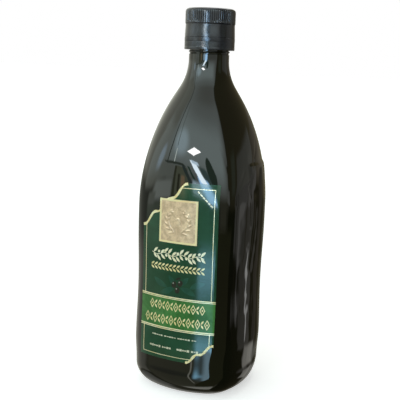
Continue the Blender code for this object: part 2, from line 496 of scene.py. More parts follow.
DARK_PLASTIC = Finish(
    "dark_green_plastic", "bottle_wall", (0.0022, 0.0026, 0.0012), (0.0034, 0.0048, 0.0020),
    tone_scale=22.0, roughness=0.02, ior=1.5, ripple_scale=55.0, ripple_stretch=0.3,
    ripple_grain=0.02, ripple_depth=0.0001, dust_amount=0.04,
)
CAP_PLASTIC = Finish(
    "charcoal_plastic", "cap_plastic", (0.012, 0.013, 0.019), (0.018, 0.020, 0.029),
    tone_scale=90.0, roughness=0.20, ripple_scale=400.0, ripple_grain=0.6, ripple_depth=0.00001,
    dust_amount=0.08,
)
LABEL_PAPER = Finish(
    "label_green", "label_print", (0.0062, 0.047, 0.0185), (0.0106, 0.067, 0.029),
    specular=0.1, tone_scale=45.0, roughness=0.42, coat=0.8, coat_roughness=0.10, ripple_scale=70.0,
    ripple_grain=0.25, ripple_depth=0.00006, dust_amount=0.08,
)
BAND_GREEN = replace(
    LABEL_PAPER, name="band_green", tone=(0.030, 0.135, 0.024), other_tone=(0.068, 0.230, 0.054),
    tone_scale=75.0, roughness=0.40,
)
LABEL_SHADE = replace(
    LABEL_PAPER, name="label_leaf_shade", tone=(0.014, 0.080, 0.046), other_tone=(0.009, 0.060, 0.033),
    tone_scale=180.0, ripple_depth=0.0,
)
OLIVE_INK = replace(
    LABEL_SHADE, name="dark_olive_print", tone=(0.016, 0.017, 0.010), other_tone=(0.030, 0.028, 0.018),
    tone_scale=300.0, roughness=0.35, dust_amount=0.1,
)
OLIVE_SHINE = replace(
    OLIVE_INK, name="olive_highlight_print", tone=(0.30, 0.33, 0.26), other_tone=(0.40, 0.42, 0.34)
)
GOLD_LINE = Finish(
    "gold_print", "foil", (0.88, 0.74, 0.38), (0.95, 0.86, 0.56),
    tone_scale=260.0, roughness=0.34, metallic=0.3, coat=0.5, ripple_scale=500.0, ripple_grain=0.5,
    ripple_depth=0.00002,
)
CREAM_PRINT = Finish(
    "cream_print", "foil", (0.92, 0.85, 0.55), (0.98, 0.93, 0.68),
    tone_scale=300.0, roughness=0.36, metallic=0.1, coat=0.5,
)
YELLOW_PRINT = replace(
    CREAM_PRINT, name="yellow_gold_print", tone=(0.84, 0.70, 0.30), other_tone=(0.94, 0.82, 0.44),
    roughness=0.34, metallic=0.15,
)
SMALL_PRINT = replace(
    CREAM_PRINT, name="small_gold_print", tone=(0.60, 0.58, 0.40), other_tone=(0.74, 0.71, 0.52),
    roughness=0.4, metallic=0.2,
)
TORN_GOLD = Finish(
    "torn_edge_gold", "foil", (0.90, 0.72, 0.30), (0.99, 0.90, 0.56),
    tone_scale=420.0, roughness=0.36, metallic=0.1, coat=0.4, ripple_scale=700.0, ripple_grain=0.6,
    ripple_depth=0.00005,
)
SEAL_FIELD = Finish(
    "seal_pale_foil", "foil", (0.62, 0.43, 0.26), (0.90, 0.67, 0.42),
    tone_scale=300.0, roughness=0.42, metallic=0.15, specular=0.3, coat=0.35, coat_roughness=0.2,
    ripple_scale=520.0, ripple_grain=0.5, ripple_depth=0.00004,
)
SEAL_RIM = replace(
    TORN_GOLD, name="seal_rim_foil", tone=(1.0, 0.92, 0.50), other_tone=(1.0, 0.76, 0.40),
    tone_scale=75.0, roughness=0.3, metallic=0.05, ripple_scale=500.0, ripple_depth=0.00003,
)


# Making pieces

def turned(profile: Sequence[Place], steps: int) -> bmesh.types.BMesh:
    """Spin a profile once round the Z axis.

    Args:
        profile: Points (radius, z).
        steps: Number of flats round the axis.

    Returns:
        The closed mesh, facing out.
    """
    mesh = bmesh.new()
    verts = [mesh.verts.new((radius, 0.0, z)) for radius, z in profile]
    edges = [mesh.edges.new(pair) for pair in zip(verts, verts[1:])]
    bmesh.ops.spin(
        mesh, geom=verts + edges, cent=(0, 0, 0), axis=(0, 0, 1), angle=2 * math.pi, steps=steps,
        use_merge=True,
    )
    bmesh.ops.remove_doubles(mesh, verts=mesh.verts, dist=MERGE)
    bmesh.ops.recalc_face_normals(mesh, faces=mesh.faces)
    return mesh


def make_piece(
    name: str, mesh: bmesh.types.BMesh, finish: Finish, stands_for: str = "", sharp: float = 40.0
) -> bpy.types.Object:
    """Turn a mesh into a finished piece that rides on the bottle's body.

    Args:
        name: Name of the piece.
        mesh: Its mesh, which is freed.
        finish: Its finish.
        stands_for: The solid that it stands for, if any.
        sharp: Angle in degrees past which an edge stays sharp.

    Returns:
        The piece.
    """
    data = bpy.data.meshes.new(name)
    mesh.to_mesh(data)
    mesh.free()
    data.shade_smooth()
    data.set_sharp_from_angle(angle=math.radians(sharp))
    data.materials.append(finish.material())
    piece = bpy.data.objects.new(name, data)
    bpy.context.scene.collection.objects.link(piece)
    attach(piece, BODY)
    if stands_for:
        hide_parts(stands_for)
    log.info("%s: %d faces, finish %s", name, len(data.polygons), finish.name)
    return piece


# Bottle

@dataclass(frozen=True)
class Crease:
    """A soft fold of the thin wall, along points (degrees round the axis, height)."""

    points: tuple[Place, ...]
    depth: float
    width: float
    metres_per_degree: float = 0.00073
    widths_out: float = 3.0

    def depth_at(self, degrees: float, z: float) -> float:
        """Depth of the fold at a place on the wall.

        Args:
            degrees: Polar angle of the place.
            z: Its height.

        Returns:
            The depth in metres.
        """
        reach = self.widths_out * self.width
        heights = [point[1] for point in self.points]
        if not min(heights) - reach < z < max(heights) + reach:
            return 0.0
        nearest = reach
        for start, end in zip(self.points, self.points[1:]):
            run = Vector(((end[0] - start[0]) * self.metres_per_degree, end[1] - start[1]))
            turn = (degrees - start[0] + 180.0) % 360.0 - 180.0
            offset = Vector((turn * self.metres_per_degree, z - start[1]))
            share = min(max(offset.dot(run) / run.length_squared, 0.0), 1.0)
            nearest = min(nearest, (offset - run * share).length)
        return self.depth * math.exp(-((nearest / self.width) ** 2))


@dataclass(frozen=True)
class Zone:
    """A stretch of the way round the wall, in degrees, that fades out at both ends."""

    middle: float
    half: float
    fade: float

    def share(self, degrees: float) -> float:
        """Share at a polar angle in degrees: 1 inside the zone, 0 well outside it."""
        away = abs((degrees - self.middle + 180.0) % 360.0 - 180.0)
        return 1.0 - smooth_step((away - self.half) / self.fade)


@dataclass(frozen=True)
class Waver:
    """Smooth noise over the wall, stretched along its height."""

    round_scale: float
    height_scale: float
    shift: float

    def at(self, point: Vector) -> float:
        """Value of the noise at a point of the wall, from about -1 to 1."""
        across, up = self.round_scale, self.height_scale
        return noise.noise(Vector((point.x * across, point.y * across, point.z * up + self.shift)))


@dataclass(frozen=True)
class Bottle:
    """The blown body with its shoulders, neck and neck bead."""

    push_up_radius: float = 0.0225
    push_up_height: float = 0.0030
    bead_radius: float = 0.0139
    bead_z: float = 0.2317
    bead_height: float = 0.0012
    groove_radius: float = 0.01325
    groove_z: float = 0.2308
    groove_height: float = 0.0006
    finish_radius: float = 0.0134
    edge: float = 0.0003
    steps_round: int = 360
    wall_rows: int = 110
    shoulder_rows: int = 66
    dent_depth: float = 0.00012
    buckle_depth: float = 0.00022
    ledge_z: float = 0.1592
    ledge_out: float = 0.0008
    ledge_in: float = 0.0003
    ledge_angles: Place = (-21.0, 38.0)
    ledge_fades: Place = (7.0, 14.0)
    ledge_start: float = 0.0008
    ledge_rise: float = 0.0022
    ledge_below: float = 0.022
    ledge_above: float = 0.012
    slack_side: Zone = Zone(0.0, 24.0, 18.0)
    slack_back: Zone = Zone(100.0, 30.0, 25.0)
    back_share: float = 0.55
    least_share: float = 0.06
    fade_in: Place = (0.006, 0.026)
    fade_out: Place = (0.165, 0.205)
    broad_waver: Waver = Waver(34.0, 11.0, 0.0)
    long_waver: Waver = Waver(120.0, 27.0, 7.0)
    short_waver: Waver = Waver(230.0, 115.0, 3.0)
    even_share: float = 0.5
    long_share: float = 0.42
    short_share: float = 0.27
    label_half: float = 0.03
    label_share: float = 0.25
    push_up_rows: int = 10
    curve_steps: int = 20
    bead_steps: int = 8
    creases: tuple[Crease, ...] = (
        Crease(
            ((4.0, 0.1735), (0.5, 0.1697), (-7.7, 0.1622), (-12.7, 0.1559), (-20.0, 0.1445)),
            0.00022,
            0.0009,
        ),
        Crease(((-26.5, 0.1552), (-32.6, 0.1481), (-37.0, 0.1420), (-37.6, 0.1340)), 0.00018, 0.0008),
        Crease(((-20.0, 0.1445), (-16.0, 0.1330), (-15.0, 0.1180)), 0.00014, 0.0014),
        Crease(((-5.5, 0.1400), (-4.0, 0.1200), (-7.0, 0.1020), (-9.5, 0.0900)), 0.00022, 0.0032),
        Crease(((58.0, 0.1480), (66.0, 0.1180), (63.0, 0.0900)), 0.00022, 0.0016),
        Crease(((112.0, 0.1320), (121.0, 0.1010), (117.0, 0.0700)), 0.00020, 0.0018),
        Crease(((203.0, 0.1180), (196.0, 0.0860)), 0.00012, 0.0020),
    )

    def profile(self) -> list[Place]:
        """Points (radius, z) from the middle of the base up the outside to the mouth."""
        mouth_z = BOXES["bottle"][1].z
        heel = WALL.heel_radius
        points = [
            (self.push_up_radius * t, self.push_up_height * (1.0 - smooth_step(t)))
            for t in between(0.0, 1.0, self.push_up_rows)
        ]
        points += arc((WALL.side_radius(heel) - heel, heel), heel, -QUARTER, 0.0, self.curve_steps)
        points += [(WALL.side_radius(z), z) for z in between(heel, WALL.shoulder_z, self.wall_rows)[1:]]
        cone_radius, cone_z = WALL.shoulder_end()
        rows = between(WALL.shoulder_z, cone_z, self.shoulder_rows)[1:]
        points += [(WALL.side_radius(z), z) for z in rows]
        neck_radius, neck_z = WALL.neck_start()
        points.append(((cone_radius + neck_radius) / 2, (cone_z + neck_z) / 2))
        centre = (
            WALL.neck_radius + WALL.neck_arc_radius,
            neck_z + WALL.neck_arc_radius * math.sin(WALL.shoulder_angle),
        )
        turns = (math.pi + WALL.shoulder_angle, math.pi)
        points += arc(centre, WALL.neck_arc_radius, *turns, self.curve_steps)
        points += self.bead()
        points += [(self.finish_radius, mouth_z), (0.0, mouth_z)]
        return points

    def bead(self) -> list[Place]:
        """Points (radius, z) of the groove and of the round bead above it."""
        top = self.groove_z + self.groove_height
        points = [
            (WALL.neck_radius, self.groove_z - self.edge),
            (self.groove_radius, self.groove_z),
            (self.groove_radius, top),
        ]
        radius = self.bead_height / 2
        centre = (self.bead_radius - radius, self.bead_z + radius)
        return points + arc(centre, radius, -QUARTER, QUARTER, self.bead_steps)

    def slackness(self, degrees: float) -> float:
        """Share of the buckling at a polar angle: most on the +X side, hardly any on the label's."""
        side, back = self.slack_side.share(degrees), self.slack_back.share(degrees)
        return max(side, self.back_share * back, self.least_share)

    def ledge(self, degrees: float, z: float) -> float:
        """Small step where the slack side meets the stiff shoulder, outward below and inward above.

        Args:
            degrees: Polar angle of the place.
            z: Its height.

        Returns:
            How far the wall lies out, in metres.
        """
        first, last = self.ledge_angles
        turn = (degrees + 180.0) % 360.0 - 180.0
        fade_in, fade_out = self.ledge_fades
        share = smooth_step((turn - first) / fade_in) * smooth_step((last - turn) / fade_out)
        rise = z - self.ledge_z
        step = 1.0 - smooth_step((rise + self.ledge_start) / self.ledge_rise)
        below = smooth_step(1.0 + rise / self.ledge_below)
        above = smooth_step(1.0 - rise / self.ledge_above)
        return share * (self.ledge_out * step * below - self.ledge_in * (1.0 - step) * above)

    def dent(self, point: Vector) -> float:
        """Depth of the slight hollows, buckles and folds that the thin wall has.

        Args:
            point: A point of the wall.

        Returns:
            How far the wall lies in, in metres.
        """
        degrees = math.degrees(math.atan2(point.y, point.x))
        (low, full), (ends, gone) = self.fade_in, self.fade_out
        fade = smooth_step((point.z - low) / (full - low)) * smooth_step((gone - point.z) / (gone - ends))
        behind_label = point.y < -self.label_half and abs(point.x) < self.label_half
        hollows = self.dent_depth * self.even_share * (1.0 + self.broad_waver.at(point))
        hollows *= self.label_share if behind_label else 1.0
        wavers = self.long_share * self.long_waver.at(point) + self.short_share * self.short_waver.at(point)
        buckles = self.buckle_depth * self.slackness(degrees) * (self.even_share + wavers)
        folds = sum(crease.depth_at(degrees, point.z) for crease in self.creases)
        return fade * (hollows + buckles) + folds - self.ledge(degrees, point.z)

    def build(self) -> None:
        """Spin the profile, give it its section and its hollows, and dress it."""
        mesh = turned(self.profile(), self.steps_round)
        for vert in mesh.verts:
            angle = math.atan2(vert.co.y, vert.co.x)
            scale = WALL.section_scale(angle, vert.co.z)
            radius = math.hypot(vert.co.x, vert.co.y)
            if radius > MERGE:
                scale -= self.dent(vert.co) / radius
            vert.co.x *= scale
            vert.co.y *= scale
        make_piece("bottle_wall", mesh, DARK_PLASTIC, "bottle")


# Closure

@dataclass(frozen=True)
class Cap:
    """The screw cap: a ribbed grip over a smooth, slightly waisted skirt."""

    ribs: int = 72
    steps_per_rib: int = 10
    rib_depth: float = 0.00032
    groove_share: float = 0.16
    skirt_radius: float = 0.0169
    waist_radius: float = 0.0166
    inner_radius: float = 0.0140
    roof: float = 0.0022
    edge_radius: float = 0.0024
    crown: float = 0.0005
    grip_z: float = 0.2509
    grip_top: float = 0.2598
    run_out: float = 0.0007
    lip: float = 0.0001
    skirt_rows: int = 8
    grip_rows: int = 5
    edge_steps: int = 10
    crown_rows: Sequence[float] = (0.4, 0.8, 1.0)
    sharp: float = 18.0

    def profile(self) -> list[Place]:
        """Points (radius, z) from the roof inside, round the skirt, to the crown."""
        low, high = BOXES["cap"]
        radius = high.x
        edge_z = high.z - self.crown - self.edge_radius
        points = [
            (0.0, high.z - self.roof),
            (self.inner_radius, high.z - self.roof),
            (self.inner_radius, low.z),
            (self.skirt_radius - self.lip, low.z),
            (self.skirt_radius, low.z + self.lip),
        ]
        skirt_height = self.grip_z - self.run_out - low.z - self.lip
        for t in between(0.0, 1.0, self.skirt_rows)[1:]:
            skirt = self.skirt_radius + (self.waist_radius - self.skirt_radius) * smooth_step(t)
            points.append((skirt, low.z + self.lip + skirt_height * t))
        points += [(radius - self.lip / 2, self.grip_z), (radius, self.grip_z + self.lip)]
        points += [(radius, z) for z in between(self.grip_z + self.lip, edge_z, self.grip_rows)[1:-1]]
        points += arc((radius - self.edge_radius, edge_z), self.edge_radius, 0.0, QUARTER, self.edge_steps)
        rim, rim_z = points[-1]
        return points + [(rim * (1.0 - t), rim_z + self.crown * t) for t in self.crown_rows]

    def rib(self, angle: float, z: float) -> float:
        """Depth of the valley between two ribs at this place.

        Args:
            angle: Polar angle.
            z: Height.

        Returns:
            How far the surface lies in, in metres.
        """
        if z < self.grip_z:
            return 0.0
        foot = smooth_step((z - self.grip_z) / self.run_out)
        head = 1.0 - smooth_step((z - self.grip_top + self.run_out) / self.run_out)
        from_groove = abs((self.ribs * angle / (2 * math.pi)) % 1.0 - 0.5)
        return self.rib_depth * foot * head * (1.0 - smooth_step(from_groove / self.groove_share))

    def build(self) -> None:
        """Spin the cap, cut its ribs and dress it."""
        mesh = turned(self.profile(), self.ribs * self.steps_per_rib)
        for vert in mesh.verts:
            radius = math.hypot(vert.co.x, vert.co.y)
            if radius > self.inner_radius + self.lip:
                scale = 1.0 - self.rib(math.atan2(vert.co.y, vert.co.x), vert.co.z) / radius
                vert.co.x *= scale
                vert.co.y *= scale
        make_piece("cap_shell", mesh, CAP_PLASTIC, "cap", sharp=self.sharp)


@dataclass(frozen=True)
class TamperBand:
    """The ring that stays on the neck, with fine ridges and the small bridges to the cap."""

    wall: float = 0.0014
    edge: float = 0.0003
    ridges: int = 5
    ridge_low: float = 0.0016
    ridge_high: float = 0.0056
    ridge_depth: float = 0.00006
    bridges: int = 12
    bridge_width: float = 0.0012
    bridge_depth: float = 0.0007
    sink: float = 0.00008
    reach: float = 0.00020
    top_edge: float = 0.0001
    rows_per_ridge: int = 8
    steps_round: int = 180
    sharp: float = 30.0

    def profile(self) -> list[Place]:
        """Points (radius, z) of the ring's section, closed."""
        low, high = BOXES["tamper_band"]
        outer, inner = high.x, high.x - self.wall
        points = [(inner, low.z), (outer - self.edge, low.z), (outer, low.z + self.edge)]
        for t in between(0.0, 1.0, self.ridges * self.rows_per_ridge):
            z = low.z + self.ridge_low + (self.ridge_high - self.ridge_low) * t
            cut = self.ridge_depth * (0.5 - 0.5 * math.cos(2 * math.pi * self.ridges * t))
            points.append((outer - cut, z))
        top = high.z + self.reach
        points += [(outer, top - self.top_edge), (outer - self.top_edge, top), (inner, top)]
        return points + points[:1]

    def build(self) -> None:
        """Spin the ring, set its bridges and dress it."""
        ring = turned(self.profile(), self.steps_round)
        make_piece("tamper_ring", ring, CAP_PLASTIC, "tamper_band", sharp=self.sharp)
        top = BOXES["tamper_band"][1]
        gap = BOXES["cap"][0].z - top.z
        mesh = bmesh.new()
        radius = top.x - self.edge - self.bridge_depth / 2
        size = Matrix.Diagonal((self.bridge_depth, self.bridge_width, gap + 2 * self.sink, 1.0))
        place = Matrix.Translation((radius, 0.0, top.z + gap / 2))
        for i in range(self.bridges):
            turn = Matrix.Rotation(2 * math.pi * (i + 0.5) / self.bridges, 4, "Z")
            cube = bmesh.ops.create_cube(mesh, size=1.0, matrix=turn @ place @ size)
            edges = list({edge for vert in cube["verts"] for edge in vert.link_edges})
            bmesh.ops.bevel(
                mesh, geom=edges, offset=self.sink, offset_type="OFFSET", segments=2, profile=0.5,
                affect="EDGES", material=-1,
            )
        make_piece("tamper_bridges", mesh, CAP_PLASTIC)


# Flat print that is laid on the wall

class Motif(Enum):
    """Outlines that the print is made of."""

    LEAF = "leaf"
    DISC = "disc"
    BAR = "bar"


SIDES = {Motif.LEAF: 18, Motif.DISC: 20, Motif.BAR: 4}

# How far the print lies over the wall, and how thick its films are
PRINT_LIFT = 0.00030
FILM = 0.00003
THIN_FILM = 0.00002
THINNEST_FILM = 0.00001
SHEET_SHARP = 50.0


def lay_on_wall(mesh: bmesh.types.BMesh, lift: float, thickness: float) -> None:
    """Give a flat sheet in the XZ plane its thickness and wrap it on the front of the wall.

    Args:
        mesh: The sheet.
        lift: How far its underside is from the wall.
        thickness: Its thickness.
    """
    made = bmesh.ops.extrude_face_region(mesh, geom=mesh.faces[:], use_keep_orig=True)
    moved = [item for item in made["geom"] if isinstance(item, bmesh.types.BMVert)]
    bmesh.ops.translate(mesh, verts=moved, vec=(0.0, -thickness, 0.0))
    bmesh.ops.recalc_face_normals(mesh, faces=mesh.faces)
    for vert in mesh.verts:
        vert.co = WALL.front(vert.co.x, vert.co.z, lift - vert.co.y)


class FlatArt:
    """Print drawn flat in the XZ plane, then cut fine and laid on the wall as a thin film.

    The pitches are the distances between the cuts, across the label and up it.
    """

    pitches: Place = (0.0010, 0.0024)

    def __init__(self) -> None:
        """Start with nothing drawn."""
        self.mesh = bmesh.new()

    def stamp(self, motif: Motif, at: Place, size: Place, angle: float = 0.0, bend: float = 0.0) -> None:
        """Draw one motif.

        Args:
            motif: The outline.
            at: Its middle (x, z).
            size: Its length and width.
            angle: How far it is turned from the X direction, in degrees.
            bend: How far its middle is bowed to one side.
        """
        made = bmesh.ops.create_circle(self.mesh, cap_ends=True, segments=SIDES[motif], radius=0.5)
        turn = Matrix.Rotation(-math.radians(angle), 3, "Y")
        for vert in made["verts"]:
            along, across = vert.co.x, vert.co.y
            if motif is Motif.LEAF:
                across *= math.sqrt(max(1.0 - (2 * along) ** 2, 0.0))
            if motif is Motif.BAR:
                along, across = (along - across), (along + across)
            bow = bend * (1.0 - (2 * along) ** 2)
            vert.co = turn @ Vector((along * size[0], 0.0, across * size[1] + bow))
        bmesh.ops.translate(self.mesh, verts=made["verts"], vec=(at[0], 0.0, at[1]))

    def stroke(self, points: Sequence[Place], width: Callable[[float], float]) -> None:
        """Draw a ribbon along a line by extruding one short edge.

        Args:
            points: Points (x, z) of its middle line.
            width: Width of the ribbon at each share of its length, from 0 to 1.
        """
        last = len(points) - 1
        edge = None
        for i, point in enumerate(points):
            before, after = points[max(i - 1, 0)], points[min(i + 1, last)]
            along = Vector((after[0] - before[0], after[1] - before[1])).normalized()
            half = width(i / last) / 2
            sides = [
                Vector((point[0] - along.y * half * way, 0.0, point[1] + along.x * half * way))
                for way in (1, -1)
            ]
            if edge is None:
                edge = self.mesh.edges.new([self.mesh.verts.new(side) for side in sides])
                left = edge.verts[0]
                continue
            old = left.co.copy()
            made = bmesh.ops.extrude_edge_only(self.mesh, edges=[edge])["geom"]
            edge = next(item for item in made if isinstance(item, bmesh.types.BMEdge))
            left = min(edge.verts, key=lambda vert: (vert.co - old).length)
            left.co, edge.other_vert(left).co = sides

    def ring(self, points: Sequence[Place], width: float) -> None:
        """Draw a closed thin outline.

        Args:
            points: Its corners (x, z).
            width: Width of the line.
        """
        for start, end in zip(points, [*points[1:], points[0]]):
            middle = ((start[0] + end[0]) / 2, (start[1] + end[1]) / 2)
            run = (end[0] - start[0], end[1] - start[1])
            length = math.hypot(*run) + width / 2
            self.stamp(Motif.BAR, middle, (length, width), math.degrees(math.atan2(run[1], run[0])))

    def slice_fine(self) -> None:
        """Cut the print, across the label and up it, into pieces small enough to follow the wall."""
        for way, pitch in zip((Vector((1, 0, 0)), Vector((0, 0, 1))), self.pitches):
            places = [vert.co.dot(way) / pitch for vert in self.mesh.verts]
            for i in range(math.floor(min(places)), math.ceil(max(places)) + 1):
                geom = self.mesh.verts[:] + self.mesh.edges[:] + self.mesh.faces[:]
                bmesh.ops.bisect_plane(self.mesh, geom=geom, plane_co=way * i * pitch, plane_no=way)

    def lay(self, name: str, finish: Finish, lift: float = PRINT_LIFT, thickness: float = FILM) -> None:
        """Give the print its thickness, lay it on the wall and dress it.

        Args:
            name: Name of the piece.
            finish: Its finish.
            lift: How far its underside is from the wall.
            thickness: Thickness of the film.
        """
        self.slice_fine()
        bmesh.ops.recalc_face_normals(self.mesh, faces=self.mesh.faces)
        lay_on_wall(self.mesh, lift, thickness)
        make_piece(name, self.mesh, finish, sharp=SHEET_SHARP)


# Label

@dataclass(frozen=True)
class Tear:
    """A torn corner's wavy edge, from one end (x, z) to the other."""

    start: Place
    end: Place
    waves: int
    depth: float

    def height(self, x: float) -> float:
        """Height of the edge.

        Args:
            x: Place across the label.

        Returns:
            The height, in metres.
        """
        t = (x - self.start[0]) / (self.end[0] - self.start[0])
        wave = -self.depth * math.sin(2 * math.pi * self.waves * t)
        return self.start[1] + (self.end[1] - self.start[1]) * t + wave

    def line(self, steps: int) -> list[Place]:
        """Points (x, z) along the edge, which this many straight pieces join."""
        return [(x, self.height(x)) for x in between(self.start[0], self.end[0], steps)]


@dataclass(frozen=True)
class Label:
    """The paper label with its gold edging, its frame and its band, laid on the front."""

    upper_tear: Tear = Tear((-0.0272, 0.1170), (0.0064, 0.1478), 3, 0.0014)
    lower_tear: Tear = Tear((0.0087, 0.0257), (0.0272, 0.0392), 2, 0.0010)
    tear_steps: int = 200
    tear_gap: float = 0.0002
    paper_lift: float = 0.00005
    paper_thickness: float = 0.00022
    columns: int = 136
    rows: int = 70
    edging_steps: int = 90
    edging_inset: float = 0.00045
    edging_width: float = 0.00155
    edging_waver: float = 0.00040
    edging_sways: Place = (37.0, 11.0)
    edging_thickness: float = 0.00012
    line_inset: float = 0.0028
    line_top: float = 0.0034
    line_bottom: float = 0.0027
    line_gap: float = 0.0008
    line_width: float = 0.00042
    band_low: float = 0.0477
    band_high: float = 0.0692
    band_rules: tuple[Place, ...] = ((-0.00055, 0.00055), (0.00045, 0.00075))

    def height_range(self, x: float) -> Place:
        """Lower and upper edge of the label at x.

        Args:
            x: Place across the label.

        Returns:
            The two heights.
        """
        low, high = BOXES["label"]
        top = high.z if x >= self.upper_tear.end[0] else self.upper_tear.height(x)
        bottom = low.z if x <= self.lower_tear.start[0] else self.lower_tear.height(x)
        return bottom, top

    def paper(self) -> None:
        """Make the paper, a thin closed sheet that follows the wall."""
        half = BOXES["label"][1].x
        mesh = bmesh.new()
        bmesh.ops.create_grid(mesh, x_segments=self.columns, y_segments=self.rows, size=0.5)
        for vert in mesh.verts:
            x = 2 * half * vert.co.x
            bottom, top = self.height_range(x)
            vert.co = (x, 0.0, bottom + (top - bottom) * (vert.co.y + 0.5))
        lay_on_wall(mesh, self.paper_lift, self.paper_thickness)
        make_piece("label_paper", mesh, LABEL_PAPER, "label", sharp=SHEET_SHARP)

    def edging_at(self, t: float) -> float:
        """Width of the gold edging at a share of its length, from 0 to 1."""
        fast, slow = self.edging_sways
        return self.edging_width + self.edging_waver * math.sin(fast * t) * math.sin(slow * t + 1.0)

    def torn_edging(self) -> None:
        """Lay the raised gold edging along both torn corners."""
        for name, tear, inward in (("upper", self.upper_tear, -1), ("lower", self.lower_tear, 1)):
            art = FlatArt()
            points = [(x, z + inward * self.edging_inset) for x, z in tear.line(self.edging_steps)]
            art.stroke(points, self.edging_at)
            art.lay(f"torn_edging_{name}", TORN_GOLD, thickness=self.edging_thickness)

    def frame_lines(self) -> None:
        """Lay the thin gold frame, which stops at the torn corners and at the band."""
        low, high = BOXES["label"]
        x = high.x - self.line_inset
        top, bottom = high.z - self.line_top, low.z + self.line_bottom
        upper, lower = self.upper_tear, self.lower_tear
        upper_start = next(px for px, pz in upper.line(self.tear_steps) if pz > top + self.tear_gap)
        lower_end = next(px for px, pz in lower.line(self.tear_steps) if pz > bottom - self.tear_gap)
        runs = [
            ((-x, self.band_high), (-x, upper.height(-x) - self.line_gap)),
            ((-x, bottom), (-x, self.band_low)),
            ((x, self.band_high), (x, top)),
            ((x, lower.height(x) + self.line_gap), (x, self.band_low)),
            ((upper_start, top), (x, top)),
            ((-x, bottom), (lower_end, bottom)),
        ]
        art = FlatArt()
        for ends in runs:
            art.stroke(ends, lambda t: self.line_width)
        art.lay("frame_lines", GOLD_LINE)

    def band(self) -> None:
        """Lay the lighter green band and the double gold lines that border it."""
        low, high = BOXES["label"]
        width = high.x - low.x
        middle = (self.band_low + self.band_high) / 2
        art = FlatArt()
        art.stamp(Motif.BAR, (0.0, middle), (width, self.band_high - self.band_low))
        art.lay("band_field", BAND_GREEN, PRINT_LIFT - THIN_FILM, THIN_FILM)
        art = FlatArt()
        for z in (self.band_low, self.band_high):
            for offset, thick in self.band_rules:
                art.stamp(Motif.BAR, (0.0, z + offset), (width, thick))
        art.lay("band_lines", GOLD_LINE, PRINT_LIFT + THIN_FILM)

    def build(self) -> None:
        """Make the paper and lay its edging, frame and band."""
        self.paper()
        self.torn_edging()
        self.frame_lines()
        self.band()


# Ornament

@dataclass(frozen=True)
class Leaf:
    """One printed leaf: its middle, its size, how far it is turned in degrees and how far it is bowed."""

    at: Place
    size: Place
    angle: float
    bend: float = 0.0


@dataclass(frozen=True)
class PrintRow:
    """One row of ornament or small print: its height, its two ends and the height of what stands in it."""

    z: float
    first: float
    last: float
    height: float
    gaps: int = 0


